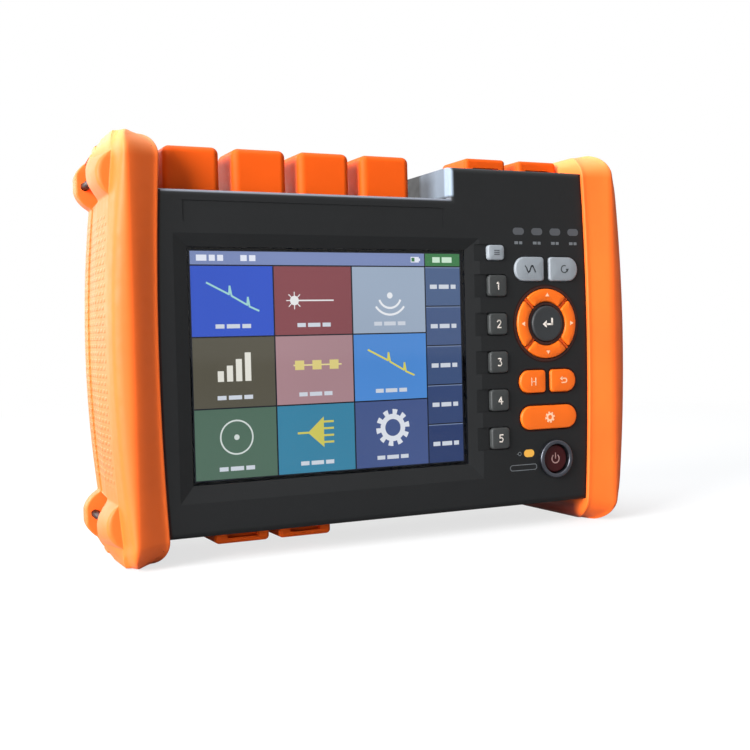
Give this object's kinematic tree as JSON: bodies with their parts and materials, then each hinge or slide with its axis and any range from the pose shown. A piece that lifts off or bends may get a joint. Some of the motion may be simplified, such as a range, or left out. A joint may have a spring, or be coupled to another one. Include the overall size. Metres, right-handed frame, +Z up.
{
  "type": "optical time domain reflectometer",
  "caption": "Handheld fibre tester: grey case between two full-height rubber bumpers, with a colour screen, keypad, hinged port caps and a rear stand.",
  "frame": {"origin": "middle of the footprint, on the table", "axes": "+Z up, +X to the user's right, the screen faces -Y"},
  "size_m": [0.215, 0.07, 0.15],
  "materials": {
    "bumper_rubber": "matte",
    "cap_rubber": "matte",
    "front_shell": "fine texture",
    "rear_shell": "fine texture",
    "panel_black": "matte",
    "window_glass": "clear",
    "display": "lit display",
    "circuit_board": "satin",
    "key_mat": "matte",
    "web_orange": "satin",
    "ring_grey": "satin metallic",
    "lens_grey": "clear grey",
    "lens_amber": "amber",
    "module_case": "satin",
    "battery_wrap": "film",
    "screw_steel": "zinc",
    "pin_steel": "bright",
    "jack_metal": "nickel",
    "adapter_metal": "nickel",
    "key_grey": "satin",
    "key_soft": "satin",
    "key_dark": "satin",
    "key_red": "satin",
    "key_orange": "satin"
  },
  "bodies": {
    "instrument": {"front_housing": "front_shell", "rear_housing": "rear_shell", "bumper_left": "bumper_rubber", "bumper_right": "bumper_rubber", "screen_window": "window_glass", "display_panel": "display", "main_board": "circuit_board", "keypad_board": "circuit_board", "key_mat": "key_mat", "ring_web": "web_orange", "power_ring": "ring_grey", "light_guide": "lens_grey", "charge_lens": "lens_amber", "optical_module": "module_case", "battery_pack": "battery_wrap", "battery_door": "rear_shell", "door_screws": "screw_steel", "case_screws": "screw_steel", "port_panel": "panel_black", "top_panel": "panel_black", "low_panel": "panel_black", "strap_pins_left": "pin_steel", "strap_pins_right": "pin_steel", "cap_rod": "pin_steel", "top_rod": "pin_steel", "low_rod": "pin_steel", "top_jack_1": "jack_metal", "top_jack_2": "jack_metal", "low_jack_1": "jack_metal", "low_jack_2": "jack_metal", "optical_adapter_1": "adapter_metal", "optical_adapter_2": "adapter_metal", "optical_adapter_3": "adapter_metal", "optical_adapter_4": "adapter_metal"},
    "menu_key": {"menu_key": "key_grey"},
    "soft_key_1": {"soft_key_1": "key_soft"},
    "soft_key_2": {"soft_key_2": "key_soft"},
    "soft_key_3": {"soft_key_3": "key_soft"},
    "soft_key_4": {"soft_key_4": "key_soft"},
    "soft_key_5": {"soft_key_5": "key_soft"},
    "mode_key_left": {"mode_key_left": "key_grey"},
    "mode_key_right": {"mode_key_right": "key_grey"},
    "marker_key": {"marker_key": "key_orange"},
    "escape_key": {"escape_key": "key_orange"},
    "setup_key": {"setup_key": "key_orange"},
    "arrow_key_up": {"arrow_key_up": "key_orange"},
    "arrow_key_down": {"arrow_key_down": "key_orange"},
    "arrow_key_left": {"arrow_key_left": "key_orange"},
    "arrow_key_right": {"arrow_key_right": "key_orange"},
    "enter_key": {"enter_key": "key_dark"},
    "power_key": {"power_key": "key_red"},
    "port_cap_1": {"port_cap_1": "cap_rubber"},
    "port_cap_2": {"port_cap_2": "cap_rubber"},
    "port_cap_3": {"port_cap_3": "cap_rubber"},
    "port_cap_4": {"port_cap_4": "cap_rubber"},
    "top_cover_1": {"top_cover_1": "cap_rubber"},
    "top_cover_2": {"top_cover_2": "cap_rubber"},
    "low_cover_1": {"low_cover_1": "cap_rubber"},
    "low_cover_2": {"low_cover_2": "cap_rubber"},
    "tilt_stand": {"tilt_stand": "rear_shell"}
  },
  "joints": [
    {"name": "menu_key_press", "type": "slide", "parent": "instrument", "child": "menu_key", "axis": [0, 1, 0], "range_m": [0, 0.001], "stiffness_N_per_m": 500},
    {"name": "soft_key_1_press", "type": "slide", "parent": "instrument", "child": "soft_key_1", "axis": [0, 1, 0], "range_m": [0, 0.001], "stiffness_N_per_m": 500},
    {"name": "soft_key_2_press", "type": "slide", "parent": "instrument", "child": "soft_key_2", "axis": [0, 1, 0], "range_m": [0, 0.001], "stiffness_N_per_m": 500},
    {"name": "soft_key_3_press", "type": "slide", "parent": "instrument", "child": "soft_key_3", "axis": [0, 1, 0], "range_m": [0, 0.001], "stiffness_N_per_m": 500},
    {"name": "soft_key_4_press", "type": "slide", "parent": "instrument", "child": "soft_key_4", "axis": [0, 1, 0], "range_m": [0, 0.001], "stiffness_N_per_m": 500},
    {"name": "soft_key_5_press", "type": "slide", "parent": "instrument", "child": "soft_key_5", "axis": [0, 1, 0], "range_m": [0, 0.001], "stiffness_N_per_m": 500},
    {"name": "mode_key_left_press", "type": "slide", "parent": "instrument", "child": "mode_key_left", "axis": [0, 1, 0], "range_m": [0, 0.001], "stiffness_N_per_m": 500},
    {"name": "mode_key_right_press", "type": "slide", "parent": "instrument", "child": "mode_key_right", "axis": [0, 1, 0], "range_m": [0, 0.001], "stiffness_N_per_m": 500},
    {"name": "marker_key_press", "type": "slide", "parent": "instrument", "child": "marker_key", "axis": [0, 1, 0], "range_m": [0, 0.001], "stiffness_N_per_m": 500},
    {"name": "escape_key_press", "type": "slide", "parent": "instrument", "child": "escape_key", "axis": [0, 1, 0], "range_m": [0, 0.001], "stiffness_N_per_m": 500},
    {"name": "setup_key_press", "type": "slide", "parent": "instrument", "child": "setup_key", "axis": [0, 1, 0], "range_m": [0, 0.001], "stiffness_N_per_m": 500},
    {"name": "arrow_key_up_press", "type": "slide", "parent": "instrument", "child": "arrow_key_up", "axis": [0, 1, 0], "range_m": [0, 0.001], "stiffness_N_per_m": 500},
    {"name": "arrow_key_down_press", "type": "slide", "parent": "instrument", "child": "arrow_key_down", "axis": [0, 1, 0], "range_m": [0, 0.001], "stiffness_N_per_m": 500},
    {"name": "arrow_key_left_press", "type": "slide", "parent": "instrument", "child": "arrow_key_left", "axis": [0, 1, 0], "range_m": [0, 0.001], "stiffness_N_per_m": 500},
    {"name": "arrow_key_right_press", "type": "slide", "parent": "instrument", "child": "arrow_key_right", "axis": [0, 1, 0], "range_m": [0, 0.001], "stiffness_N_per_m": 500},
    {"name": "enter_key_press", "type": "slide", "parent": "instrument", "child": "enter_key", "axis": [0, 1, 0], "range_m": [0, 0.001], "stiffness_N_per_m": 500},
    {"name": "power_key_press", "type": "slide", "parent": "instrument", "child": "power_key", "axis": [0, 1, 0], "range_m": [0, 0.001], "stiffness_N_per_m": 500},
    {"name": "port_cap_1_hinge", "type": "hinge", "parent": "instrument", "child": "port_cap_1", "pos_m": [0, 0.0012, 0.132], "axis": [-1, 0, 0], "range_deg": [0, 100]},
    {"name": "port_cap_2_hinge", "type": "hinge", "parent": "instrument", "child": "port_cap_2", "pos_m": [0, 0.0012, 0.132], "axis": [-1, 0, 0], "range_deg": [0, 100]},
    {"name": "port_cap_3_hinge", "type": "hinge", "parent": "instrument", "child": "port_cap_3", "pos_m": [0, 0.0012, 0.132], "axis": [-1, 0, 0], "range_deg": [0, 100]},
    {"name": "port_cap_4_hinge", "type": "hinge", "parent": "instrument", "child": "port_cap_4", "pos_m": [0, 0.0012, 0.132], "axis": [-1, 0, 0], "range_deg": [0, 100]},
    {"name": "top_cover_1_hinge", "type": "hinge", "parent": "instrument", "child": "top_cover_1", "pos_m": [0, 0.0072, 0.144], "axis": [-1, 0, 0], "range_deg": [0, 100]},
    {"name": "top_cover_2_hinge", "type": "hinge", "parent": "instrument", "child": "top_cover_2", "pos_m": [0, 0.0072, 0.144], "axis": [-1, 0, 0], "range_deg": [0, 100]},
    {"name": "low_cover_1_hinge", "type": "hinge", "parent": "instrument", "child": "low_cover_1", "pos_m": [0, 0.0012, 0.0073], "axis": [1, 0, 0], "range_deg": [0, 100]},
    {"name": "low_cover_2_hinge", "type": "hinge", "parent": "instrument", "child": "low_cover_2", "pos_m": [0, 0.0012, 0.0073], "axis": [1, 0, 0], "range_deg": [0, 100]},
    {"name": "tilt_stand_hinge", "type": "hinge", "parent": "instrument", "child": "tilt_stand", "pos_m": [0, 0.0296, 0.082], "axis": [1, 0, 0], "range_deg": [0, 50]}
  ]
}
